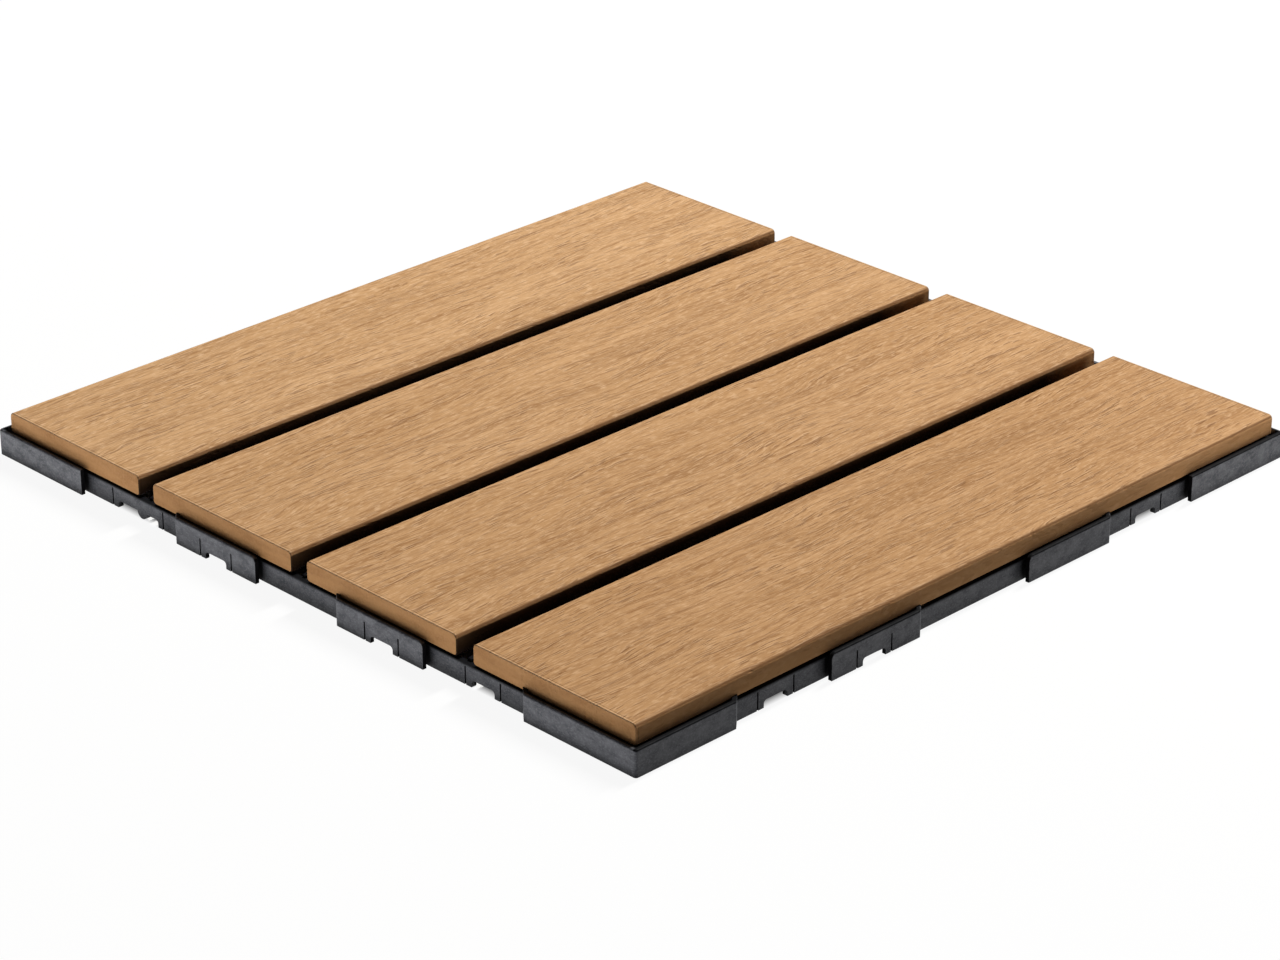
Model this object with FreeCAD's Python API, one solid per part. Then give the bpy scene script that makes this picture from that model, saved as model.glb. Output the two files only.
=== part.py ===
import FreeCAD, Part
import math
import os

# Interlocking deck tile: four composite slats screwed down on a moulded plastic grid base.
# Millimetres. +Z up, slats run along Y, origin on the ground under the middle of the slats.
# The front (-Y) and right (+X) edges carry open lips, and the back and left edges carry the
# catches that drop behind the lips of the next tile.

# Slats
SLAT_COUNT = 4
SLAT_WIDTH = 67.8
SLAT_GAP = 7.2
SLAT_THICKNESS = 7.1
SLAT_TOP_ROUND = 1.5
SLAT_BOTTOM_ROUND = 1.0

# Rim and grid under the slats
BASE_HEIGHT = 7.9
WALL_THICKNESS = 2.0
WALL_SHADOW_GAP = 0.8
RIB_THICKNESS = 1.6
CELLS_PER_SLAT = 3
FOOT_HEIGHT = 1.0
FOOT_LENGTH = 9.0
FOOT_EVERY = 3

# Screws, one near each end of a slat, and the webs of the grid that they hold
SCREW_SHANK_DIAMETER = 3.0
SCREW_HEAD_DIAMETER = 6.0
SCREW_CROWN_DIAMETER = 3.6
SCREW_HEAD_HEIGHT = 1.9
SCREW_HEAD_RIM = 0.8
SCREW_BITE = 5.0
PILOT_EXTRA_DEPTH = 0.4
SCREW_WEB = 2.4
SCREW_CLEARANCE = 0.25

# Lips on the front and right edges
LIP_STANDOFF = 3.0
LIP_THICKNESS = 1.4
LIP_RISE = 1.1
LIP_LENGTH = 39.0
LIP_SLANT = 3.4
LIP_WEB = 2.0
LIP_EDGE_ROUND = 0.7
LIP_BEND_ROUND = 1.0
LIP_OPEN_ROUND = 2.0
FRONT_LIP_CENTRES = (-37.2, 40.1)
RIGHT_LIP_CENTRES = (-49.1, 40.2)
LEFT_CORNER_LIP = 44.0
RIGHT_CORNER_LIP = 48.4
FRONT_CORNER_LIP_TO_LEFT = 46.2
FRONT_CORNER_LIP_TO_RIGHT = 40.5
CORNER_RETURN = 8.0

# Catches on the back and left edges
CATCH_THICKNESS = 1.2
CATCH_CLEARANCE = 0.2
CATCH_OVERLAP = 7.0
CATCH_LENGTH = 33.0
CATCH_BOTTOM = 0.8
CATCH_TOP = 6.5
CATCH_WEB = 3.0
CATCH_LEAD = 0.5

# Drain notches with a spring slit each side, and the snap peg in the wide one
NOTCH_HEIGHT = 2.5
NOTCH_WIDTH = 10.0
NOTCH_CORNER_ROUND = 1.2
WIDE_NOTCH_WIDTH = 20.4
FRONT_NOTCH_CENTRES = (-37.0, 41.1, 82.6)
FRONT_WIDE_NOTCH_CENTRE = -79.8
RIGHT_NOTCH_CENTRES = (-89.3, -50.0, 81.3)
SLIT_WIDTH = 0.6
SLIT_HEIGHT = 6.2
SLIT_MARGIN = 2.6
PEG_WIDTH = 4.8
PEG_OFFSET = 2.1
PEG_GROUND_GAP = 0.2

# How far a cutter runs past what it cuts, and how close two places count as the same
OVERRUN = 1.0
SAME = 1e-6

# Sizes that follow from the ones above
SLAT_PITCH = SLAT_WIDTH + SLAT_GAP
TILE_PITCH = SLAT_COUNT * SLAT_PITCH
SLAT_LENGTH = TILE_PITCH - SLAT_GAP
HALF = SLAT_LENGTH / 2
RIM_INSIDE = HALF - WALL_THICKNESS
SLAT_TOP = BASE_HEIGHT + SLAT_THICKNESS
WALL_TOP = BASE_HEIGHT - WALL_SHADOW_GAP
LIP_TOP = BASE_HEIGHT + LIP_RISE
LIP_OUTSIDE = HALF + LIP_STANDOFF
LIP_INSIDE = LIP_OUTSIDE - LIP_THICKNESS
LIP_LEAN = LIP_SLANT * LIP_THICKNESS / LIP_STANDOFF
CATCH_STANDOFF = TILE_PITCH - SLAT_LENGTH - CATCH_CLEARANCE
RIB_PITCH = SLAT_PITCH / CELLS_PER_SLAT
RIB_COUNT = SLAT_COUNT * CELLS_PER_SLAT - 1
SCREW_HOLE_DIAMETER = SCREW_SHANK_DIAMETER + 2 * SCREW_CLEARANCE
SCREW_HEAD_ROOM = SCREW_HEAD_DIAMETER + 2 * SCREW_CLEARANCE
SCREW_SEAT_Z = BASE_HEIGHT - SCREW_WEB

RIGHT, BACK, LEFT = 90, 180, 270


def vec(x, y, z=0.0):
    return FreeCAD.Vector(x, y, z)


def prism(points, bottom, top):
    """A closed outline in plan, raised from bottom to top."""
    corners = [vec(x, y, bottom) for x, y in points]
    face = Part.Face(Part.makePolygon(corners + corners[:1]))
    return face.extrude(vec(0, 0, top - bottom))


def box(low, high):
    return Part.makeBox(high[0] - low[0], high[1] - low[1], high[2] - low[2], vec(*low))


def fused(shapes):
    return shapes[0].multiFuse(shapes[1:]).removeSplitter()


def edges_where(shape, wanted):
    """The edges of a shape whose middle passes the test."""
    return [edge for edge in shape.Edges if wanted(edge.CenterOfMass)]


def same(a, b):
    return abs(a - b) < SAME


def on_side(shape, side):
    """Turns a piece made on the front edge round to another edge."""
    turned = shape.copy()
    turned.rotate(vec(0, 0), vec(0, 0, 1), side)
    return turned


def slat_centre(index):
    return (index - (SLAT_COUNT - 1) / 2) * SLAT_PITCH


def rib_line(index):
    """Place of a grid rib, counted from the middle of the tile."""
    return (index - (RIB_COUNT - 1) / 2) * RIB_PITCH


def screw_places():
    """The middle of the grid's end bay, under each end of every slat."""
    last_rib = rib_line(RIB_COUNT - 1) + RIB_THICKNESS / 2
    out = (last_rib + RIM_INSIDE) / 2
    return [(slat_centre(n), end) for n in range(SLAT_COUNT) for end in (-out, out)]


def foot_places():
    """Crossings of the grid that have a foot, counted from its middle."""
    first = (RIB_COUNT - 1) // 2 % FOOT_EVERY
    lines = [rib_line(n) for n in range(first, RIB_COUNT, FOOT_EVERY)]
    return [(x, y) for x in lines for y in lines]


def lip_ends(centres):
    return [(centre - LIP_LENGTH / 2, centre + LIP_LENGTH / 2) for centre in centres]


# Slats

def slat_profile():
    """Cross-section of a slat about its own middle, with all four long edges rounded."""
    half = SLAT_WIDTH / 2
    corners = [
        (half, BASE_HEIGHT, SLAT_BOTTOM_ROUND, -90),
        (half, SLAT_TOP, SLAT_TOP_ROUND, 0),
        (-half, SLAT_TOP, SLAT_TOP_ROUND, 90),
        (-half, BASE_HEIGHT, SLAT_BOTTOM_ROUND, 180),
    ]
    arcs = []
    for x, z, radius, start in corners:
        centre_x = x - math.copysign(radius, x)
        centre_z = z - radius if z == SLAT_TOP else z + radius
        on_arc = []
        for angle in (start, start + 45, start + 90):
            turn = math.radians(angle)
            on_arc.append(
                vec(centre_x + radius * math.cos(turn), 0, centre_z + radius * math.sin(turn))
            )
        arcs.append(on_arc)
    outline = []
    for n, on_arc in enumerate(arcs):
        outline.append(Part.Arc(*on_arc).toShape())
        outline.append(Part.makeLine(on_arc[2], arcs[(n + 1) % len(arcs)][0]))
    return Part.Face(Part.Wire(outline))


def slat(index):
    centre = slat_centre(index)
    body = slat_profile().extrude(vec(0, SLAT_LENGTH, 0))
    body.translate(vec(centre, -HALF, 0))
    radius = SCREW_SHANK_DIAMETER / 2
    depth = SCREW_BITE + PILOT_EXTRA_DEPTH
    for x, y in screw_places():
        if same(x, centre):
            body = body.cut(Part.makeCylinder(radius, depth, vec(x, y, BASE_HEIGHT)))
    return body


# Screws

def screw():
    """Pan-head screw standing head down, with its seat at the origin."""
    shank = SCREW_SHANK_DIAMETER / 2
    head = SCREW_HEAD_DIAMETER / 2
    crown = SCREW_CROWN_DIAMETER / 2
    tip = SCREW_WEB + SCREW_BITE
    outline = [
        vec(0, 0, -SCREW_HEAD_HEIGHT),
        vec(crown, 0, -SCREW_HEAD_HEIGHT),
        vec(head, 0, -SCREW_HEAD_RIM),
        vec(head, 0, 0),
        vec(shank, 0, 0),
        vec(shank, 0, tip),
        vec(0, 0, tip),
        vec(0, 0, -SCREW_HEAD_HEIGHT),
    ]
    return Part.Face(Part.makePolygon(outline)).revolve(vec(0, 0), vec(0, 0, 1), 360)


def screws():
    pattern = screw()
    placed = []
    for x, y in screw_places():
        one = pattern.copy()
        one.translate(vec(x, y, SCREW_SEAT_Z))
        placed.append(one)
    return Part.makeCompound(placed)


# Grid base

def grid():
    """Crossing ribs inside the rim, as one plate with a square hole for each cell."""
    half_rib = RIB_THICKNESS / 2
    lines = [-RIM_INSIDE - half_rib]
    lines += [rib_line(n) for n in range(RIB_COUNT)]
    lines.append(RIM_INSIDE + half_rib)

    def rectangle(x0, x1, y0, y1):
        corners = [vec(x0, y0), vec(x1, y0), vec(x1, y1), vec(x0, y1), vec(x0, y0)]
        return Part.makePolygon(corners)

    wires = [rectangle(-HALF, HALF, -HALF, HALF)]
    for x0, x1 in zip(lines, lines[1:]):
        for y0, y1 in zip(lines, lines[1:]):
            wires.append(rectangle(x0 + half_rib, x1 - half_rib, y0 + half_rib, y1 - half_rib))
    plate = Part.makeFace(wires, "Part::FaceMakerBullseye")
    ribs = plate.extrude(vec(0, 0, BASE_HEIGHT - FOOT_HEIGHT))
    ribs.translate(vec(0, 0, FOOT_HEIGHT))
    return ribs


def rim():
    outer = box((-HALF, -HALF, 0), (HALF, HALF, WALL_TOP))
    return outer.cut(box((-RIM_INSIDE, -RIM_INSIDE, 0), (RIM_INSIDE, RIM_INSIDE, WALL_TOP)))


def rim_relief():
    """Takes the rim down below the slats, which leaves the dark shadow line."""
    top = BASE_HEIGHT + OVERRUN
    reach = HALF + OVERRUN
    outer = box((-reach, -reach, WALL_TOP), (reach, reach, top))
    return outer.cut(box((-RIM_INSIDE, -RIM_INSIDE, WALL_TOP), (RIM_INSIDE, RIM_INSIDE, top)))


def feet():
    """Short crossed bars under the grid, each in line with the ribs above it."""
    thin, long = RIB_THICKNESS / 2, FOOT_LENGTH / 2
    shapes = []
    for x, y in foot_places():
        for half_x, half_y in ((long, thin), (thin, long)):
            low = (x - half_x, y - half_y, 0)
            shapes.append(box(low, (x + half_x, y + half_y, FOOT_HEIGHT)))
    return shapes


def screw_webs():
    """The end bay under each slat end is closed at the top by a web for its screw."""
    inner = rib_line(RIB_COUNT - 1)
    shapes = []
    for x, y in screw_places():
        low, high = sorted((math.copysign(inner, y), math.copysign(RIM_INSIDE + OVERRUN, y)))
        shapes.append(
            box(
                (x - RIB_PITCH / 2, low, SCREW_SEAT_Z),
                (x + RIB_PITCH / 2, high, BASE_HEIGHT),
            )
        )
    return shapes


def screw_holes():
    """A clearance hole through each web, and room for the head and the driver below it."""
    holes = []
    for x, y in screw_places():
        holes.append(Part.makeCylinder(SCREW_HOLE_DIAMETER / 2, BASE_HEIGHT, vec(x, y, 0)))
        holes.append(Part.makeCylinder(SCREW_HEAD_ROOM / 2, SCREW_SEAT_Z, vec(x, y, 0)))
    return holes


# Edge features, all made on the front edge: x runs along it and -y points outwards

def held_off_outline(free_end, root, standoff, thickness, web, slant):
    """Plan of a plate held off the wall and joined to it at one end by a slanted web."""
    away = math.copysign(1, root - free_end)
    outer = -HALF - standoff
    inner = outer + thickness
    lean = slant * thickness / standoff
    return [
        (free_end, outer),
        (root, outer),
        (root + away * slant, -HALF),
        (root + away * (slant - web), -HALF),
        (root + away * (lean - web), inner),
        (free_end, inner),
    ]


def soft_top(shape):
    """Rounds the outer top edge of a lip, and what runs on from it without a break."""
    outer_top = edges_where(shape, lambda p: same(p.z, LIP_TOP) and same(p.y, -LIP_OUTSIDE))
    return shape.makeFillet(LIP_EDGE_ROUND, outer_top)


def open_corner(open_end, away):
    """Cutter that rounds the top corner of a lip's open end. away is +1 or -1 into the lip."""
    centre = open_end + away * LIP_OPEN_ROUND
    x0, x1 = sorted((open_end - away * OVERRUN, centre))
    low_z = LIP_TOP - LIP_OPEN_ROUND
    block = box(
        (x0, -LIP_OUTSIDE - OVERRUN, low_z),
        (x1, -LIP_INSIDE + OVERRUN, LIP_TOP + OVERRUN),
    )
    length = LIP_THICKNESS + 2 * OVERRUN
    start = vec(centre, -LIP_OUTSIDE - OVERRUN, low_z)
    return block.cut(Part.makeCylinder(LIP_OPEN_ROUND, length, start, vec(0, 1, 0)))


def lip(open_end, closed_end):
    """An open-ended lip, rounded at the bend of its closed end and at its open top corner."""
    outline = held_off_outline(
        open_end, closed_end, LIP_STANDOFF, LIP_THICKNESS, LIP_WEB, LIP_SLANT
    )
    shape = prism(outline, 0, LIP_TOP)
    bend = edges_where(shape, lambda p: same(p.x, closed_end) and same(p.z, LIP_TOP / 2))
    shape = soft_top(shape.makeFillet(LIP_BEND_ROUND, bend))
    return shape.cut(open_corner(open_end, math.copysign(1, closed_end - open_end)))


def catch(free_end, root):
    """A catch for the back or left edge: its free end drops behind the next tile's lip."""
    outline = held_off_outline(
        free_end, root, CATCH_STANDOFF, CATCH_THICKNESS, CATCH_WEB, CATCH_STANDOFF
    )
    shape = prism(outline, CATCH_BOTTOM, CATCH_TOP)
    outer = -HALF - CATCH_STANDOFF
    lead_in = edges_where(shape, lambda p: same(p.z, CATCH_BOTTOM) and same(p.y, outer))
    return shape.makeChamfer(CATCH_LEAD, lead_in)


def corner_tie(x, y):
    """Thin diagonal rib from the corner of the rim to the corner of the lip round it."""
    reach = LIP_OUTSIDE - LIP_THICKNESS / 2
    half_tie = RIB_THICKNESS / 2 / math.sqrt(2)
    inner = HALF - WALL_THICKNESS / 2
    points = [
        (inner - half_tie, inner + half_tie),
        (inner + half_tie, inner - half_tie),
        (reach + half_tie, reach - half_tie),
        (reach - half_tie, reach + half_tie),
    ]
    return prism([(px * x, py * y) for px, py in points], 0, WALL_TOP)


def bent_corner(shape, x):
    """Rounds the upright corner of a lip that goes round a corner of the tile."""
    upright = edges_where(
        shape, lambda p: same(p.x, x) and same(p.y, -LIP_OUTSIDE) and same(p.z, LIP_TOP / 2)
    )
    return soft_top(shape.makeFillet(LIP_BEND_ROUND, upright))


def end_corner_lip(open_run):
    """The lip round the front-left corner: open towards the right, with a short return."""
    back = -LIP_OUTSIDE + CORNER_RETURN
    points = [
        (-LIP_OUTSIDE, -LIP_OUTSIDE),
        (-LIP_OUTSIDE + open_run, -LIP_OUTSIDE),
        (-LIP_OUTSIDE + open_run, -LIP_INSIDE),
        (-LIP_INSIDE, -LIP_INSIDE),
        (-LIP_INSIDE, back + LIP_LEAN - LIP_WEB),
        (-HALF, back + LIP_SLANT - LIP_WEB),
        (-HALF, back + LIP_SLANT),
        (-LIP_OUTSIDE, back),
    ]
    return bent_corner(prism(points, 0, LIP_TOP), -LIP_OUTSIDE)


def mirrored_to_right(shape):
    """Mirrors across the diagonal: the front edge becomes the right edge."""
    return shape.mirror(vec(0, 0), vec(1, 1))


def front_corner_lip():
    """The lip round the corner between the front and right edges, closed at both ends."""
    left = LIP_OUTSIDE - FRONT_CORNER_LIP_TO_LEFT
    right = -LIP_OUTSIDE + FRONT_CORNER_LIP_TO_RIGHT
    points = [
        (LIP_OUTSIDE, -LIP_OUTSIDE),
        (LIP_OUTSIDE, right),
        (HALF, right + LIP_SLANT),
        (HALF, right + LIP_SLANT - LIP_WEB),
        (LIP_INSIDE, right + LIP_LEAN - LIP_WEB),
        (LIP_INSIDE, -LIP_INSIDE),
        (left - LIP_LEAN + LIP_WEB, -LIP_INSIDE),
        (left - LIP_SLANT + LIP_WEB, -HALF),
        (left - LIP_SLANT, -HALF),
        (left, -LIP_OUTSIDE),
    ]
    return bent_corner(prism(points, 0, LIP_TOP), LIP_OUTSIDE)


def lips():
    shapes = [
        end_corner_lip(LEFT_CORNER_LIP),
        mirrored_to_right(end_corner_lip(RIGHT_CORNER_LIP)),
        front_corner_lip(),
        corner_tie(-1, -1),
        corner_tie(1, -1),
        corner_tie(1, 1),
    ]
    shapes += [lip(high, low) for low, high in lip_ends(FRONT_LIP_CENTRES)]
    shapes += [on_side(lip(low, high), RIGHT) for low, high in lip_ends(RIGHT_LIP_CENTRES)]
    return shapes


def catches():
    """One catch for every open lip end of the next tile, at the same place along the edge."""
    shapes = []
    front_open = [-LIP_OUTSIDE + LEFT_CORNER_LIP]
    front_open += [high for low, high in lip_ends(FRONT_LIP_CENTRES)]
    for open_end in front_open:
        free_end = open_end - CATCH_OVERLAP
        shapes.append(on_side(catch(-free_end, -(free_end + CATCH_LENGTH)), BACK))
    right_open = [LIP_OUTSIDE - RIGHT_CORNER_LIP]
    right_open += [low for low, high in lip_ends(RIGHT_LIP_CENTRES)]
    for open_end in right_open:
        free_end = open_end + CATCH_OVERLAP
        shapes.append(on_side(catch(-free_end, -(free_end - CATCH_LENGTH)), LEFT))
    return shapes


def notch(centre, width, reach):
    """Cutter for a drain notch with rounded upper corners, from reach off the wall to behind it."""
    cutter = box(
        (centre - width / 2, -HALF - reach, -OVERRUN),
        (centre + width / 2, -RIM_INSIDE + OVERRUN, NOTCH_HEIGHT),
    )
    corners = edges_where(
        cutter, lambda p: same(abs(p.x - centre), width / 2) and same(p.z, NOTCH_HEIGHT)
    )
    return cutter.makeFillet(NOTCH_CORNER_ROUND, corners)


def slits(centre, width, reach):
    """Cutters for the two spring slits beside a notch."""
    shapes = []
    for side in (-1, 1):
        x = centre + side * (width / 2 + SLIT_MARGIN)
        low = (x - SLIT_WIDTH / 2, -HALF - reach, -OVERRUN)
        high = (x + SLIT_WIDTH / 2, -RIM_INSIDE + OVERRUN, SLIT_HEIGHT)
        shapes.append(box(low, high))
    return shapes


def edge_cutters():
    """Notches on all four edges, in line from tile to tile, with slits on the lip edges."""
    past_lip = LIP_STANDOFF + OVERRUN
    front = [(centre, NOTCH_WIDTH) for centre in FRONT_NOTCH_CENTRES]
    front.append((FRONT_WIDE_NOTCH_CENTRE, WIDE_NOTCH_WIDTH))
    right = [(centre, NOTCH_WIDTH) for centre in RIGHT_NOTCH_CENTRES]
    cutters = []
    for centre, width in front:
        cutters.append(notch(centre, width, past_lip))
        cutters += slits(centre, width, past_lip)
        cutters.append(on_side(notch(-centre, width, OVERRUN), BACK))
    for centre, width in right:
        cutters.append(on_side(notch(centre, width, past_lip), RIGHT))
        cutters += [on_side(slit, RIGHT) for slit in slits(centre, width, past_lip)]
        cutters.append(on_side(notch(-centre, width, OVERRUN), LEFT))
    return cutters


def snap_peg():
    """Round-ended peg that hangs from the roof of the wide notch, flush with the wall."""
    centre = FRONT_WIDE_NOTCH_CENTRE + PEG_OFFSET
    radius = PEG_WIDTH / 2
    axis_z = PEG_GROUND_GAP + radius
    stem = box(
        (centre - radius, -HALF, axis_z),
        (centre + radius, -RIM_INSIDE, NOTCH_HEIGHT + OVERRUN),
    )
    end = Part.makeCylinder(radius, WALL_THICKNESS, vec(centre, -HALF, axis_z), vec(0, 1, 0))
    return stem.fuse(end)


def base():
    body = fused([grid(), rim()] + feet() + screw_webs()).cut(rim_relief())
    body = fused([body] + lips() + catches())
    body = body.cut(Part.makeCompound(edge_cutters() + screw_holes()))
    return fused([body, snap_peg()])


def write(name, shape):
    shape.exportStep(os.path.join("parts", name + ".step"))
    print(name, "solids", len(shape.Solids), "valid", shape.isValid(), "cm3", shape.Volume / 1000)


os.makedirs("parts", exist_ok=True)
write("base", base())
for number in range(SLAT_COUNT):
    write("slat_%d" % (number + 1), slat(number))
write("slat_screws", screws())
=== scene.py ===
import math

import bmesh
import bpy
from mathutils import Matrix, Vector, noise


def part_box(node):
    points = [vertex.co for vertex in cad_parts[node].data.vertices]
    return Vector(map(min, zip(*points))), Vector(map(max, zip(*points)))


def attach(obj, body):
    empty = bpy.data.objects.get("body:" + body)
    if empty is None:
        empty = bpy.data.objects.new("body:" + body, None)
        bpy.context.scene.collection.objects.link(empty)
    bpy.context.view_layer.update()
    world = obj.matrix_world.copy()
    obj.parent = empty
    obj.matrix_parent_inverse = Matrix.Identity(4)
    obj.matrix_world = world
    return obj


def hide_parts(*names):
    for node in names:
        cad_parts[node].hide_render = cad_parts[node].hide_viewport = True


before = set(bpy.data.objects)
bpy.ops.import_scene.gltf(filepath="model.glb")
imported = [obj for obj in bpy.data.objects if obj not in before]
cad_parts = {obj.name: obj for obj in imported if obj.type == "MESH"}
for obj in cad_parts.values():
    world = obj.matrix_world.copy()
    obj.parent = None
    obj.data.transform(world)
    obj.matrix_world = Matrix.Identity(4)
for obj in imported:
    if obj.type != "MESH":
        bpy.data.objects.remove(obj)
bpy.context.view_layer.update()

# Lengths are in metres, through MM where a size is easier to read in millimetres.
# Colours are linear red, green and blue.
MM = 0.001

# Camera, fitted to the slat edges in the photograph
CAMERA_PLACE = (0.8309, -0.8195, 0.5582)
CAMERA_AZIMUTH = 45.41
CAMERA_ELEVATION = 25.93
CAMERA_ROLL = -0.05
SENSOR_WIDTH = 36.0
LENS = 110.4

# Lamps: name, place, point aimed at, width and height, power in watts, colour.
# The four cards lie on the floor beside the tile and glow straight up, so that the lips shade
# the slats' lower edges.
MIDDLE = (0.0, 0.0, 0.0)
STRAIGHT_UP = None
CARD_HEIGHT = 0.5 * MM
COOL_CARD = (0.98, 0.98, 1.0)
WARM_CARD = (1.0, 0.99, 0.98)
LAMPS = (
    ("back_softbox", (-0.10, 1.70, 2.10), MIDDLE, (0.20, 1.0), 95.0, (1.0, 0.985, 0.95)),
    ("left_softbox", (-1.1, 0.0, 0.42), MIDDLE, (0.5, 0.4), 0.8, (1.0, 0.98, 0.97)),
    ("front_fill", (-0.3, -1.3, 0.30), MIDDLE, (0.5, 0.3), 0.7, (0.95, 0.97, 1.0)),
    ("left_card", (-0.120, -0.227, CARD_HEIGHT), STRAIGHT_UP, (0.55, 0.15), 0.29, COOL_CARD),
    ("corner_card", (-0.22, -0.227, CARD_HEIGHT), STRAIGHT_UP, (0.28, 0.15), 0.03, COOL_CARD),
    ("right_card", (0.257, 0.22, CARD_HEIGHT), STRAIGHT_UP, (0.21, 0.26), 0.10, WARM_CARD),
    ("right_softbox", (0.30, 0.26, 0.06), (0.14, 0.13, 0.01), (0.10, 0.06), 0.1, (1.0, 0.98, 0.96)),
    ("near_card", (0.182, -0.03, CARD_HEIGHT), STRAIGHT_UP, (0.06, 0.26), 0.010, WARM_CARD),
)

# World and floor: the world's strength as a light, the floor's size, its drop below the tile's
# feet, its colour as a bounce and its strength as it is seen, and the distances from the
# middle over which the dark under the tile gives way to white
WORLD_LIGHT = 0.018
FLOOR_SIZE = 8.0
FLOOR_DROP = 0.15 * MM
FLOOR_BOUNCE = 0.12
FLOOR_GLOW = 0.92
UNDER_TILE = (142.4 * MM, 146.4 * MM)
WHITE = (1.0, 1.0, 1.0, 1.0)

# Slats: edge rounds as in the solids, and the marks of the saw and of the embossing roller, with a
# painted highlight along the saw's arris and painted shade in its scored line
SLAT_COUNT = 4
SLAT_PITCH = 75.0 * MM
SLAT_TOP_ROUND = 1.5 * MM
SLAT_BOTTOM_ROUND = 1.0 * MM
ROUND_STEPS = 6
SAW_ARRIS = 0.25 * MM
SCORE_DEPTH = 0.08 * MM
STEP_ACROSS = 0.4 * MM
STEP_ALONG = 1.1 * MM
SHARP_ANGLE = math.radians(35)
# Rows at a slat's end: distance from the end, and mark from -1 (dark) to 1 (light). The light marks
# are a painted highlight along the sawn arris, the dark one painted shade in the scored line.
END_ROWS = (
    (0.0, 0.6), (SAW_ARRIS, 0.5), (0.85 * MM, 0.1),
    (1.0 * MM, -0.65), (1.15 * MM, 0.0), (1.3 * MM, 0.0),
)
SCORED_ROW = 3
# Thin dark lines along a slat's right and left top edges: how many points of the section they
# lie from the top face, and mark
RIGHT_LINE = ((5, 4), -1.0)
LEFT_LINE = ((3,), -0.2)
# Painted shade on the sides that face a gap: how far below the top face it starts and is full,
# and how far from the far end it is none and full
GAP_SHADE_TOP = (0.8 * MM, 1.6 * MM)
GAP_SHADE_END = (9 * MM, 26 * MM)
# How much darker each board is, of the darkest one
BOARD_TONES = (0.0, 0.35, 0.55, 0.85)

# The embossed skin: depths, then sizes in millimetres across and along the slat with the slice
# of noise that each form draws on, how far the forms sway, and the slices from board to board
EMBOSS_DEPTH = 0.05 * MM
PIT_DEPTH = 0.08 * MM
EMBOSS_SWAY = (20, 70, 0.0)
BROAD_RIDGES = (1.8, 20.0, 0.0)
FINE_RIDGES = (0.85, 9.0, 31.0)
PITS = (1.2, 11.0, 57.0)
SWAY_REACH = 2.0
BROAD_SHARE = 0.6
FINE_SHARE = 0.4
PIT_LEVEL = 0.30
BOARD_SLICES = 7.3

# Screws
SCREW_PLACES_X = tuple(SLAT_PITCH * (n - (SLAT_COUNT - 1) / 2) for n in range(SLAT_COUNT))
SCREW_PLACE_Y = 135.1 * MM
SCREW_SEAT = 5.5 * MM
SCREW_LENGTH = 7.4 * MM
SHANK_RADIUS = 1.5 * MM
TIP_LENGTH = 1.5 * MM
TIP_SHARE = 0.2
THREAD_PITCH = 1.1 * MM
THREAD_DEPTH = 0.4 * MM
THREAD_STEEPNESS = 3
THREAD_STEP = 0.14 * MM
# Radius and drop below the seat in millimetres, from the shank over the rim to the crown
HEAD_PROFILE = (
    (1.5, 0.0), (2.9, 0.0), (3.0, 0.1), (3.0, 0.8),
    (2.88, 1.12), (2.6, 1.42), (2.2, 1.7), (1.8, 1.9),
)
CROSS_ARM = 1.5 * MM
CROSS_HALF_WIDTH = 0.38 * MM
CROSS_DEPTH = 1.2 * MM
CROSS_TAPER = 0.6
SCREW_SEGMENTS = 32

# Materials. Noise has a size in millimetres, a detail and a roughness. A layer of colour has the
# level at which it starts, the level at which it is full, its strength there and its colour.
# A pair of tones has the levels of the noise that it runs between, and the two colours.
COMPOSITE_ROUGHNESS = 0.72
COMPOSITE_SPECULAR = 0.10
COMPOSITE_BUMP = 0.12 * MM
# How far the grain sways aside, and the slow and the quick part of it: noise, and share
GRAIN_SWAY = 3
SLOW_SWAY = (((20, 70, 20), 1.0), 1.0)
QUICK_SWAY = (((9, 30, 9), 1.0), 0.35)
SWAY_LEVELS = (0.2, 0.8)
BANDS = ((13, 150, 13), 2.0)
BAND_TONES = (0.35, 0.65, (0.595, 0.345, 0.162), (0.675, 0.405, 0.202))
# Marks along the grain, each laid over the ones before
GRAIN_MARKS = {
    "swathes": (((5, 90, 10), 2.0), (0.50, 0.68, 0.50, (0.40, 0.215, 0.095))),
    "streaks": (((1.5, 55, 6), 3.0, 0.6), (0.50, 0.66, 0.48, (0.37, 0.180, 0.068))),
    "fibres": (((0.70, 13, 2), 3.0, 0.6), (0.51, 0.64, 0.55, (0.32, 0.150, 0.052))),
    "flecks": (((0.55, 4.2, 1.5), 2.0, 0.6), (0.50, 0.66, 0.60, (0.85, 0.57, 0.34))),
}
# Fine cracks, darkened with painted shade, each with a painted highlight a little aside of it, come
# in patches.
CRACKS = ((0.62, 7.5, 2), 1.0)
CRACK_HIGHLIGHT_ASIDE = 0.3
CRACK_LEVELS = (0.59, 0.66)
CRACK_SHADE_STRENGTH = 0.65
CRACK_HIGHLIGHT_STRENGTH = 0.45
CRACK_SHADE_COLOUR = (0.24, 0.105, 0.034)
CRACK_HIGHLIGHT_COLOUR = (0.88, 0.60, 0.37)
CRACK_PATCHES = ((11, 32, 11), 2.0)
PATCH_LEVELS = (0.38, 0.60)
PATCH_STRENGTHS = (0.35, 1.0)
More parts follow.
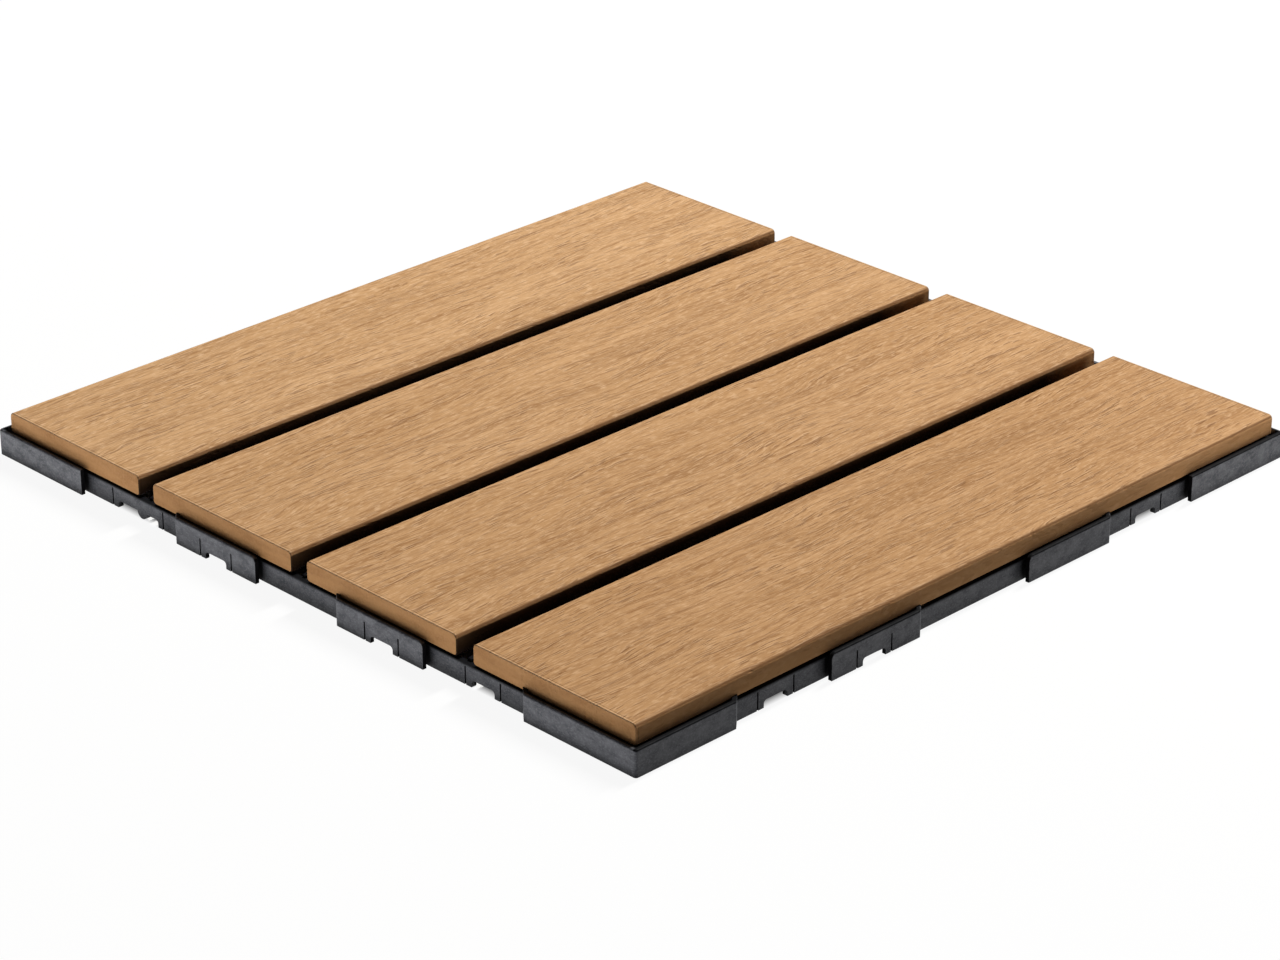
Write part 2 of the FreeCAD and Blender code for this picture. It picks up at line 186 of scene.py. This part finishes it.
# Marks that the slats' own attributes call for: darker pits and valleys of the skin, darker boards,
# dark edge marks (painted shade in the scored line at the ends, and thin dark lines along the long
# top edges), a painted highlight along the sawn arris, and painted shade on the sides that face a
# gap
HOLLOW_LAYER = (0.0, -1.0, 0.22, (0.28, 0.130, 0.045))
DARK_BOARD_COLOUR = (0.84, 0.79, 0.73)
DARK_EDGE_LAYER = (0.0, -1.0, 0.8, (0.20, 0.092, 0.036))
EDGE_HIGHLIGHT_LAYER = (0.0, 1.0, 0.6, (0.84, 0.56, 0.34))
GAP_PAINTED_SHADE_LAYER = (0.0, 1.0, 0.97, (0.008, 0.003, 0.002))
# The body of the board, on its sides and its sawn ends, over how far the surface faces that way
SIDE_LAYER = (0.5, 0.95, 0.6, (0.73, 0.375, 0.152))
SAWN_END = (0.80, 0.98, 0.9)
BODY_CLOUDS = ((16, 16, 3), 2.0)
BODY_TONES = (0.35, 0.65, (0.56, 0.270, 0.100), (0.68, 0.350, 0.140))
CRUMBS = ((1.1, 1.1, 0.8), 3.0, 0.65)
CRUMB_LAYER = (0.45, 0.70, 0.5, (0.74, 0.410, 0.185))
SKIN = ((0.35, 1.4, 0.35), 2.0)
SKIN_SHARE = 0.6

PLASTIC_ROUGHNESS = 0.42
PLASTIC_SPECULAR = 0.25
PLASTIC_BUMP = 0.05 * MM
PLASTIC_CLOUDS = ((5, 5, 3), 4.0, 0.7)
PLASTIC_TONES = (0.35, 0.65, (0.045, 0.048, 0.057), (0.125, 0.128, 0.142))
PLASTIC_GRAIN = ((0.7, 0.7, 0.5), 2.0)
GRAIN_LAYER = (0.50, 0.68, 0.5, (0.21, 0.21, 0.23))
# Levels of the clouds, and the roughness at each
CLOUD_ROUGHNESS = (0.3, 0.7, 0.55, 0.38)
# The base's deep shade: its layer and its specular level, how near the walls of a nook are and
# how open it is from full shade to none, and the other shaded regions. A region is where all
# its limits hold, and a limit runs from none to full over places, or over how far the surface
# faces along an axis.
SHADE_LAYER = (0.0, 1.0, 0.95, (0.006, 0.006, 0.007))
SHADE_SPECULAR = 0.02
NOOK_REACH = 3.5 * MM
NOOK_OPENNESS = (0.55, 0.85)
NOOK_SAMPLES = 16
SHADED_REGIONS = (
    # The grid inside the rim
    (("from_middle", 145.8 * MM, 144.8 * MM),),
    # The strip of the rim right under the slats
    (("from_middle", 147.6 * MM, 147.0 * MM), ("z", 6.1 * MM, 6.9 * MM)),
    # The inner half of the lips' tops
    (("from_middle", 148.9 * MM, 148.3 * MM), ("facing_z", 0.6, 0.9)),
    # The whole tops of the right lips
    (("facing_z", 0.2, 0.5), ("x", 147.8 * MM, 148.2 * MM)),
    # The open ends of the front lips
    (("facing_x", 0.6, 0.8), ("y", -146.5 * MM, -146.8 * MM), ("x", 146.8 * MM, 146.5 * MM)),
    # The open ends of the right lips
    (("facing_y", -0.6, -0.8), ("x", 146.5 * MM, 146.8 * MM), ("y", -146.8 * MM, -146.5 * MM)),
)

STEEL_ROUGHNESS = 0.32
STEEL_BUMP = 0.02 * MM
STEEL_SPOTS = ((0.8, 0.8, 0.8), 3.0, 0.6)
STEEL_TONES = (0.3, 0.7, (0.50, 0.50, 0.48), (0.70, 0.70, 0.68))
# Levels of the spots, and the roughness at each
SPOT_ROUGHNESS = (0.3, 0.7, 0.42, 0.25)

FLOOR_ROUGHNESS = 0.9
FLOOR_SPECULAR = 0.1


# Node helpers

def new_material(name, roughness, specular=0.5):
    """A material with an empty tree but for its Principled shader and output."""
    material = bpy.data.materials.new(name)
    material.use_nodes = True
    shader = material.node_tree.nodes["Principled BSDF"]
    shader.inputs["Roughness"].default_value = roughness
    shader.inputs["Specular IOR Level"].default_value = specular
    return material, material.node_tree, shader


def add_node(tree, kind, settings=None, **inputs):
    """Adds a node, sets its properties, and sets or links its inputs by name or place (_0)."""
    node = tree.nodes.new(kind)
    for key, value in (settings or {}).items():
        setattr(node, key, value)
    for key, value in inputs.items():
        socket = node.inputs[int(key[1:])] if key[0] == "_" else node.inputs[key]
        if isinstance(value, bpy.types.NodeSocket):
            tree.links.new(value, socket)
        else:
            socket.default_value = value
    return node


def coordinates(tree, size, aside=0.0):
    """Object coordinates, scaled so that one unit is one mark of the given size in millimetres,
    and moved across by a length in millimetres."""
    place = add_node(tree, "ShaderNodeTexCoord").outputs["Object"]
    scale = tuple(1 / (length * MM) for length in size)
    moved = (aside / size[0], 0.0, 0.0)
    mapping = add_node(tree, "ShaderNodeMapping", Vector=place, Location=moved, Scale=scale)
    return mapping.outputs["Vector"]


def noise_at(tree, vector, detail, roughness=0.5):
    texture = add_node(
        tree, "ShaderNodeTexNoise", Vector=vector, Scale=1.0,
        Detail=detail, Roughness=roughness, Distortion=0.0,
    )
    return texture.outputs["Fac"]


def noise_of(tree, size, *settings):
    """Noise of a size in millimetres, in object coordinates."""
    return noise_at(tree, coordinates(tree, size), *settings)


def ramp(tree, value, low, high, to_low=0.0, to_high=1.0):
    """Maps a value from low..high to to_low..to_high, without running past either."""
    node = add_node(tree, "ShaderNodeMapRange", Value=value)
    node.inputs["From Min"].default_value = low
    node.inputs["From Max"].default_value = high
    node.inputs["To Min"].default_value = to_low
    node.inputs["To Max"].default_value = to_high
    return node.outputs["Result"]


def maths(tree, operation, a, b=0.0):
    return add_node(tree, "ShaderNodeMath", {"operation": operation}, _0=a, _1=b).outputs[0]


def combined(tree, operation, values):
    """The product, maximum or the like of any number of values."""
    result = values[0]
    for value in values[1:]:
        result = maths(tree, operation, result, value)
    return result


def axes(tree, space):
    """X, Y and Z of a point's place (space Object) or of the way it faces (space Normal)."""
    vector = add_node(tree, "ShaderNodeTexCoord").outputs[space]
    return add_node(tree, "ShaderNodeSeparateXYZ", Vector=vector).outputs


def distance_from_middle(tree, place):
    """How far a place lies from the middle of the tile, along X or Y, whichever is more."""
    sides = [maths(tree, "ABSOLUTE", place[axis]) for axis in ("X", "Y")]
    return combined(tree, "MAXIMUM", sides)


def blended(tree, factor, a, b, blend_type="MIX"):
    """Mixes two colours, each a colour or a socket."""
    node = add_node(tree, "ShaderNodeMix", {"data_type": "RGBA", "blend_type": blend_type})
    for socket, value in ((node.inputs[0], factor), (node.inputs[6], a), (node.inputs[7], b)):
        if isinstance(value, bpy.types.NodeSocket):
            tree.links.new(value, socket)
        elif isinstance(value, tuple):
            socket.default_value = (*value, 1.0)
        else:
            socket.default_value = value
    return node.outputs[2]


def two_toned(tree, value, low, high, low_colour, high_colour):
    """One colour up to a low level of a value, and another from a high level on."""
    return blended(tree, ramp(tree, value, low, high), low_colour, high_colour)


def layered(tree, tone, value, start, full, strength, colour):
    """Lays a colour over a tone, as far as a value has come from start to full."""
    return blended(tree, ramp(tree, value, start, full, 0.0, strength), tone, colour)


def bumped(tree, shader, height, distance):
    bump = add_node(tree, "ShaderNodeBump", Height=height, Distance=distance, Strength=1.0)
    tree.links.new(bump.outputs["Normal"], shader.inputs["Normal"])


# Materials

def grain_sway(tree):
    """How far the grain sways aside at each point, as a vector across the slat."""
    parts = [
        ramp(tree, noise_of(tree, *noise_settings), *SWAY_LEVELS, -share, share)
        for noise_settings, share in (SLOW_SWAY, QUICK_SWAY)
    ]
    return add_node(tree, "ShaderNodeCombineXYZ", X=combined(tree, "ADD", parts)).outputs[0]


def along_grain(tree, sway, size, *settings, aside=0.0):
    """Noise stretched along the slat, in lines that sway a little from side to side."""
    swayed = add_node(tree, "ShaderNodeVectorMath", {"operation": "SCALE"}, _0=sway)
    swayed.inputs["Scale"].default_value = GRAIN_SWAY / size[0]
    vector = add_node(
        tree, "ShaderNodeVectorMath", {"operation": "ADD"},
        _0=coordinates(tree, size, aside), _1=swayed.outputs[0],
    )
    return noise_at(tree, vector.outputs[0], *settings)


def attribute(tree, name):
    return add_node(tree, "ShaderNodeAttribute", {"attribute_name": name}).outputs["Fac"]


def sawn_body(tree):
    """Colour of the composite where a saw has cut it open: cloudy, with light crumbs."""
    body = two_toned(tree, noise_of(tree, *BODY_CLOUDS), *BODY_TONES)
    return layered(tree, body, noise_of(tree, *CRUMBS), *CRUMB_LAYER)


def composite_material():
    """Matt tan wood-plastic composite: flecks and streaks along the slat over an embossed skin."""
    material, tree, shader = new_material("composite", COMPOSITE_ROUGHNESS, COMPOSITE_SPECULAR)
    sway = grain_sway(tree)
    tone = two_toned(tree, along_grain(tree, sway, *BANDS), *BAND_TONES)
    marks = {}
    for name, (noise_settings, layer) in GRAIN_MARKS.items():
        marks[name] = along_grain(tree, sway, *noise_settings)
        tone = layered(tree, tone, marks[name], *layer)

    patches = noise_of(tree, *CRACK_PATCHES)
    patches = ramp(tree, patches, *PATCH_LEVELS, *PATCH_STRENGTHS)
    # The cracks' dark is painted shade, and the light beside each is a painted highlight
    cracks = along_grain(tree, sway, *CRACKS)
    lips = along_grain(tree, sway, *CRACKS, aside=CRACK_HIGHLIGHT_ASIDE)
    cracked = ramp(tree, cracks, *CRACK_LEVELS, 0.0, CRACK_SHADE_STRENGTH)
    cracked = maths(tree, "MULTIPLY", cracked, patches)
    crack_highlight = ramp(tree, lips, *CRACK_LEVELS, 0.0, CRACK_HIGHLIGHT_STRENGTH)
    crack_highlight = maths(tree, "MULTIPLY", crack_highlight, patches)
    tone = blended(tree, crack_highlight, tone, CRACK_HIGHLIGHT_COLOUR)
    tone = blended(tree, cracked, tone, CRACK_SHADE_COLOUR)
    # Darker in the skin's pits and valleys
    tone = layered(tree, tone, attribute(tree, "relief"), *HOLLOW_LAYER)
    tone = blended(tree, attribute(tree, "board"), tone, DARK_BOARD_COLOUR, "MULTIPLY")

    # The sides and the sawn ends show the body of the board, which is a deeper colour.
    facing = axes(tree, "Normal")
    tone = layered(tree, tone, maths(tree, "ABSOLUTE", facing["X"]), *SIDE_LAYER)
    tone = layered(tree, tone, maths(tree, "ABSOLUTE", facing["Y"]), *SAWN_END, sawn_body(tree))

    edge = attribute(tree, "edge")
    # Dark edge marks: painted shade in the scored line, and thin dark lines along the long top
    # edges. Light edge marks: a painted highlight along the sawn arris.
    tone = layered(tree, tone, edge, *DARK_EDGE_LAYER)
    tone = layered(tree, tone, edge, *EDGE_HIGHLIGHT_LAYER)
    # Painted shade on the sides that face a gap
    tone = layered(tree, tone, attribute(tree, "dark"), *GAP_PAINTED_SHADE_LAYER)
    tree.links.new(tone, shader.inputs["Base Color"])

    skin = maths(tree, "MULTIPLY", noise_of(tree, *SKIN), SKIN_SHARE)
    height = maths(tree, "ADD", marks["fibres"], skin)
    height = maths(tree, "SUBTRACT", height, cracked)
    bumped(tree, shader, height, COMPOSITE_BUMP)
    return material


def deep_shade(tree):
    """Where the base lies in deep shade, from 0 to 1: in nooks and in the shaded regions."""
    place, facing = axes(tree, "Object"), axes(tree, "Normal")
    measures = {"from_middle": distance_from_middle(tree, place)}
    for axis in "XYZ":
        measures[axis.lower()] = place[axis]
        measures["facing_" + axis.lower()] = facing[axis]
    nooks = add_node(
        tree, "ShaderNodeAmbientOcclusion", {"samples": NOOK_SAMPLES, "only_local": True},
        Distance=NOOK_REACH,
    )
    shades = [ramp(tree, nooks.outputs["AO"], *NOOK_OPENNESS, 1.0, 0.0)]
    for limits in SHADED_REGIONS:
        held = [ramp(tree, measures[measure], none, full) for measure, none, full in limits]
        shades.append(combined(tree, "MULTIPLY", held))
    return combined(tree, "MAXIMUM", shades)


def plastic_material():
    """Satin dark grey polypropylene with the cloudy skin of a filled moulding, and less gloss
    in its deep shade, where it would mirror the white floor."""
    material, tree, shader = new_material("base_plastic", PLASTIC_ROUGHNESS, PLASTIC_SPECULAR)
    clouds, grain = noise_of(tree, *PLASTIC_CLOUDS), noise_of(tree, *PLASTIC_GRAIN)
    shade = deep_shade(tree)
    tone = two_toned(tree, clouds, *PLASTIC_TONES)
    tone = layered(tree, tone, grain, *GRAIN_LAYER)
    tone = layered(tree, tone, shade, *SHADE_LAYER)
    specular = ramp(tree, shade, 0.0, 1.0, PLASTIC_SPECULAR, SHADE_SPECULAR)
    tree.links.new(tone, shader.inputs["Base Color"])
    tree.links.new(specular, shader.inputs["Specular IOR Level"])
    tree.links.new(ramp(tree, clouds, *CLOUD_ROUGHNESS), shader.inputs["Roughness"])
    bumped(tree, shader, grain, PLASTIC_BUMP)
    return material


def steel_material():
    """Zinc-plated steel, faintly brushed by the driver."""
    material, tree, shader = new_material("screw_steel", STEEL_ROUGHNESS)
    shader.inputs["Metallic"].default_value = 1.0
    spots = noise_of(tree, *STEEL_SPOTS)
    tree.links.new(two_toned(tree, spots, *STEEL_TONES), shader.inputs["Base Color"])
    tree.links.new(ramp(tree, spots, *SPOT_ROUGHNESS), shader.inputs["Roughness"])
    bumped(tree, shader, spots, STEEL_BUMP)
    return material


def floor_material():
    """White to the camera and in reflections but for the dark under the tile, dimmer as a bounce,
    and it keeps the shadow."""
    material, tree, shader = new_material("floor", FLOOR_ROUGHNESS, FLOOR_SPECULAR)
    shader.inputs["Base Color"].default_value = (FLOOR_BOUNCE, FLOOR_BOUNCE, FLOOR_BOUNCE, 1.0)
    rays = add_node(tree, "ShaderNodeLightPath").outputs
    seen = combined(
        tree, "MAXIMUM",
        [rays["Is %s Ray" % kind] for kind in ("Camera", "Glossy", "Transmission")],
    )
    white = add_node(tree, "ShaderNodeBsdfDiffuse", Color=WHITE)
    glow = add_node(tree, "ShaderNodeEmission", Color=WHITE, Strength=1.0)
    from_middle = distance_from_middle(tree, axes(tree, "Object"))
    glowing = ramp(tree, from_middle, *UNDER_TILE, 0.0, FLOOR_GLOW)
    pale = add_node(
        tree, "ShaderNodeMixShader", _0=glowing, _1=white.outputs[0], _2=glow.outputs[0]
    )
    both = add_node(tree, "ShaderNodeMixShader", _0=seen, _1=shader.outputs[0], _2=pale.outputs[0])
    output = next(n for n in tree.nodes if n.type == "OUTPUT_MATERIAL")
    tree.links.new(both.outputs[0], output.inputs["Surface"])
    return material


# Slats

def within(value, low=0.0, high=1.0):
    return max(low, min(high, value))


def share_of(value, start, full):
    """How far a value has come from start to full, from 0 to 1."""
    return within((value - start) / (full - start))


def profile(half, low, high):
    """Points round a slat's section, from its middle, and which of them lie on the top face.
    It runs from the lower left corner round the right side, over the top and down the left."""
    points = []

    def arc(x, z, radius, start):
        for step in range(ROUND_STEPS + 1):
            angle = math.radians(start + 90 * step / ROUND_STEPS)
            points.append((x + radius * math.cos(angle), z + radius * math.sin(angle)))

    arc(-half + SLAT_BOTTOM_ROUND, low + SLAT_BOTTOM_ROUND, SLAT_BOTTOM_ROUND, 180)
    arc(half - SLAT_BOTTOM_ROUND, low + SLAT_BOTTOM_ROUND, SLAT_BOTTOM_ROUND, 270)
    arc(half - SLAT_TOP_ROUND, high - SLAT_TOP_ROUND, SLAT_TOP_ROUND, 0)
    first_top = len(points)
    flat = half - SLAT_TOP_ROUND
    count = round(2 * flat / STEP_ACROSS)
    points += [(flat - 2 * flat * n / count, high) for n in range(1, count)]
    last_top = len(points)
    arc(-half + SLAT_TOP_ROUND, high - SLAT_TOP_ROUND, SLAT_TOP_ROUND, 90)
    return points, range(first_top, last_top)


def rows_along(half_length):
    """Places of the rows along a slat, with close ones at the saw's arris at each end."""
    ends = [half_length - distance for distance, _ in reversed(END_ROWS)]
    count = round(2 * ends[0] / STEP_ALONG)
    middle = [-ends[0] + 2 * ends[0] * n / count for n in range(1, count)]
    return [-y for y in reversed(ends)] + middle + ends


def embossing(x, y, number):
    """Depth of the skin below the top face, and its relief from -1 in pits and valleys to 1 on
    ridges.
    """
    def noise_here(aside, across, along, slice_of_noise):
        return noise.noise(Vector((
            (x / MM + aside) / across, y / MM / along, BOARD_SLICES * number + slice_of_noise,
        )))

    sway = SWAY_REACH * noise_here(0.0, *EMBOSS_SWAY)
    broad, fine = noise_here(sway, *BROAD_RIDGES), noise_here(sway, *FINE_RIDGES)
    ridge = BROAD_SHARE * broad + FINE_SHARE * fine
    pit = max(0.0, noise_here(sway, *PITS) - PIT_LEVEL) / PIT_LEVEL
    depth = EMBOSS_DEPTH * (0.5 - ridge) + PIT_DEPTH * min(1.0, pit)
    return max(0.0, depth), within(ridge - pit, -1.0)


def faces_between(rows, around):
    """Quads between rows of points that run round a closed section."""
    faces = []
    for row in range(rows - 1):
        for index in range(around):
            after = (index + 1) % around
            a, b = row * around, (row + 1) * around
            faces.append((a + index, a + after, b + after, b + index))
    return faces


def slat_points(number, low, high):
    """Points of one board, row by row along it. Returns them with the number of rows and, for
    each point, how hollow the skin is, the mark of an edge and how dark the painted shade of a
    gap makes it."""
    centre = (low.x + high.x) / 2
    points, top = profile((high.x - low.x) / 2, low.z, high.z)
    ys = rows_along((high.y - low.y) / 2)
    middle_y, middle_z = (low.y + high.y) / 2, (low.z + high.z) / 2
    shrink_x = 1 - 2 * SAW_ARRIS / (high.x - low.x)
    shrink_z = 1 - 2 * SAW_ARRIS / (high.z - low.z)
    flat = (high.x - low.x) / 2 - SLAT_TOP_ROUND
    lines = {top[0] - steps: RIGHT_LINE[1] for steps in RIGHT_LINE[0]}
    lines |= {top[-1] + steps: LEFT_LINE[1] for steps in LEFT_LINE[0]}
    vertices, relief, edge, dark = [], [], [], []
    for row, y in enumerate(ys):
        from_end = min(row, len(ys) - 1 - row)
        at_end = from_end < len(END_ROWS)
        fade = share_of(ys[-1] - y, *GAP_SHADE_END)
        for index, (x, z) in enumerate(points):
            hollow, mark = 0.0, 0.0
            if from_end == 0:
                x, z = x * shrink_x, middle_z + (z - middle_z) * shrink_z
            # At the ends: a painted highlight along the arris, and painted shade in the scored line
            if index in top and at_end:
                mark = END_ROWS[from_end][1]
                z -= SCORE_DEPTH if from_end == SCORED_ROW else 0.0
            elif index in top:
                depth, hollow = embossing(centre + x, y, number)
                z -= depth
            elif index in lines:
                mark = lines[index]
            elif x > flat and at_end:
                mark = min(0.0, END_ROWS[from_end][1])
            # Painted shade on the sides that face a gap, lighter towards the far end
            in_gap = x > flat and number < SLAT_COUNT or x < -flat and number > 1
            dark.append(fade * share_of(high.z - z, *GAP_SHADE_TOP) if in_gap else 0.0)
            vertices.append((centre + x, middle_y + y, z))
            relief.append(hollow)
            edge.append(mark)
    return vertices, len(ys), relief, edge, dark


def slat(number, material):
    """One board with an embossed top, all four long edges rounded and sawn ends."""
    node = "slat_%d" % number
    low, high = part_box(node)
    vertices, rows, relief, edge, dark = slat_points(number, low, high)
    around = len(vertices) // rows
    faces = faces_between(rows, around)
    last_row = (rows - 1) * around
    ends = [tuple(reversed(range(around))), tuple(range(last_row, last_row + around))]

    def at_corners(values):
        """A value for each corner of each face, and none on the sawn ends."""
        return [values[vertex] for face in faces for vertex in face] + [0.0] * (2 * around)

    mesh = bpy.data.meshes.new(node + "_board")
    mesh.from_pydata(vertices, [], faces + ends)
    board = [BOARD_TONES[number - 1]] * len(vertices)
    for name, domain, values in (
        ("relief", "POINT", relief), ("board", "POINT", board),
        ("dark", "CORNER", at_corners(dark)), ("edge", "CORNER", at_corners(edge)),
    ):
        mesh.attributes.new(name, "FLOAT", domain).data.foreach_set("value", values)
    return finished(mesh, material, "slat_composite", node)


# Screws

def thread_radius(turn, height):
    """Radius of the shank at a turn from 0 to 1 and a height above the seat."""
    ridge = abs(2 * ((height / THREAD_PITCH - turn) % 1) - 1)
    radius = SHANK_RADIUS - THREAD_DEPTH * min(1.0, THREAD_STEEPNESS * (1 - ridge))
    taper = min(1.0, (SCREW_LENGTH - height) / TIP_LENGTH)
    return radius * (TIP_SHARE + (1 - TIP_SHARE) * taper)


def screw_side(bm, x, y):
    """Threaded shank and rounded head of a screw, from the tip down. Returns the crown's ring."""
    turns = [n / SCREW_SEGMENTS for n in range(SCREW_SEGMENTS)]

    def ring(radius_at, z):
        return [
            bm.verts.new((
                x + radius_at(turn) * math.cos(math.tau * turn),
                y + radius_at(turn) * math.sin(math.tau * turn),
                z,
            ))
            for turn in turns
        ]

    rows = round(SCREW_LENGTH / THREAD_STEP)
    rings = []
    for n in range(rows):
        height = SCREW_LENGTH * (1 - n / rows)
        rings.append(ring(lambda turn: thread_radius(turn, height), SCREW_SEAT + height))
    for radius, drop in HEAD_PROFILE:
        rings.append(ring(lambda turn: radius * MM, SCREW_SEAT - drop * MM))
    for upper, lower in zip(rings, rings[1:]):
        for n in range(SCREW_SEGMENTS):
            bm.faces.new((upper[n - 1], upper[n], lower[n], lower[n - 1]))
    bm.faces.new(rings[0])
    return rings[-1]


def cross_recess(bm, x, y, crown):
    """Tapered cross recess in a screw's crown, and the flat face that is left round it."""
    level = crown[0].co.z
    arm, half = CROSS_ARM, CROSS_HALF_WIDTH
    outline = []
    for quarter in range(4):
        turn = Matrix.Rotation(math.radians(90 * quarter), 2)
        outline += [turn @ Vector(corner) for corner in ((arm, -half), (arm, half), (half, half))]
    mouth = [bm.verts.new((x + p.x, y + p.y, level)) for p in outline]
    foot = [
        bm.verts.new((x + p.x * CROSS_TAPER, y + p.y * CROSS_TAPER, level + CROSS_DEPTH))
        for p in outline
    ]
    for n in range(len(outline)):
        bm.faces.new((mouth[n - 1], mouth[n], foot[n], foot[n - 1]))
    bm.faces.new(foot)
    step = SCREW_SEGMENTS // 4
    for quarter in range(4):
        first, corner = quarter * step, quarter * 3
        bm.faces.new(
            [crown[first - 1], crown[first], crown[first + 1], mouth[corner + 1], mouth[corner]]
        )
        arc = [crown[(first + n) % SCREW_SEGMENTS] for n in range(1, step)]
        after = mouth[(corner + 3) % len(mouth)]
        bm.faces.new(arc + [after, mouth[corner + 2], mouth[corner + 1]])


def screws(material):
    """Eight pan-head screws, driven upwards, two to a slat."""
    bm = bmesh.new()
    for x in SCREW_PLACES_X:
        for y in (-SCREW_PLACE_Y, SCREW_PLACE_Y):
            cross_recess(bm, x, y, screw_side(bm, x, y))
    bmesh.ops.recalc_face_normals(bm, faces=bm.faces)
    mesh = bpy.data.meshes.new("pan_head_screws")
    bm.to_mesh(mesh)
    bm.free()
    return finished(mesh, material, "screw_steel", "slat_screws")


def finished(mesh, material, slot, *nodes):
    """Shades a mesh and puts it into the scene in place of the given nodes, on the tile's one
    body."""
    mesh.shade_smooth()
    mesh.set_sharp_from_angle(angle=SHARP_ANGLE)
    mesh.materials.append(material)
    piece = bpy.data.objects.new(mesh.name, mesh)
    bpy.context.scene.collection.objects.link(piece)
    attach(piece, "root")
    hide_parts(*nodes)
    return piece


# Camera, lamps and floor

def add_camera():
    azimuth, elevation = math.radians(CAMERA_AZIMUTH), math.radians(CAMERA_ELEVATION)
    forward = Vector((
        -math.sin(azimuth) * math.cos(elevation),
        math.cos(azimuth) * math.cos(elevation),
        -math.sin(elevation),
    ))
    right = Vector((math.cos(azimuth), math.sin(azimuth), 0.0))
    up = right.cross(forward)
    turn = Matrix((right, up, -forward)).transposed().to_4x4()
    roll = Matrix.Rotation(math.radians(CAMERA_ROLL), 4, "Z")
    camera = bpy.data.cameras.new("camera")
    camera.sensor_fit = "HORIZONTAL"
    camera.sensor_width = SENSOR_WIDTH
    camera.lens = LENS
    camera.clip_end = 2 * FLOOR_SIZE
    holder = bpy.data.objects.new("camera", camera)
    holder.matrix_world = Matrix.Translation(CAMERA_PLACE) @ turn @ roll
    bpy.context.scene.collection.objects.link(holder)
    bpy.context.scene.camera = holder


def add_lamps():
    for name, place, target, size, power, colour in LAMPS:
        lamp = bpy.data.lights.new(name, "AREA")
        lamp.shape = "RECTANGLE"
        lamp.size, lamp.size_y = size
        lamp.energy = power
        lamp.color = colour
        holder = bpy.data.objects.new(name, lamp)
        holder.location = place
        aim = Vector((0.0, 0.0, 1.0)) if target is STRAIGHT_UP else Vector(target) - Vector(place)
        holder.rotation_euler = aim.to_track_quat("-Z", "Y").to_euler()
        holder.visible_camera = False
        bpy.context.scene.collection.objects.link(holder)


def add_world():
    """Dim even light from all round, white where the camera looks past the floor."""
    world = bpy.data.worlds.new("studio")
    bpy.context.scene.world = world
    world.use_nodes = True
    tree = world.node_tree
    background = tree.nodes["Background"]
    background.inputs["Color"].default_value = WHITE
    rays = add_node(tree, "ShaderNodeLightPath").outputs
    strength = ramp(tree, rays["Is Camera Ray"], 0.0, 1.0, WORLD_LIGHT, 1.0)
    tree.links.new(strength, background.inputs["Strength"])


def add_floor():
    mesh = bpy.data.meshes.new("floor")
    reach = FLOOR_SIZE / 2
    corners = [(x, y, -FLOOR_DROP) for x, y in (
        (-reach, -reach), (reach, -reach), (reach, reach), (-reach, reach),
    )]
    mesh.from_pydata(corners, [], [(0, 1, 2, 3)])
    mesh.materials.append(floor_material())
    floor = bpy.data.objects.new("floor", mesh)
    bpy.context.scene.collection.objects.link(floor)


def dress_node(name, material):
    """Gives a CAD node a better material."""
    for material_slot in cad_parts[name].material_slots:
        material_slot.material = material


composite = composite_material()
for number in range(1, SLAT_COUNT + 1):
    slat(number, composite)
screws(steel_material())
dress_node("base", plastic_material())
add_camera()
add_lamps()
add_world()
add_floor()
bpy.context.scene.view_settings.view_transform = "Standard"
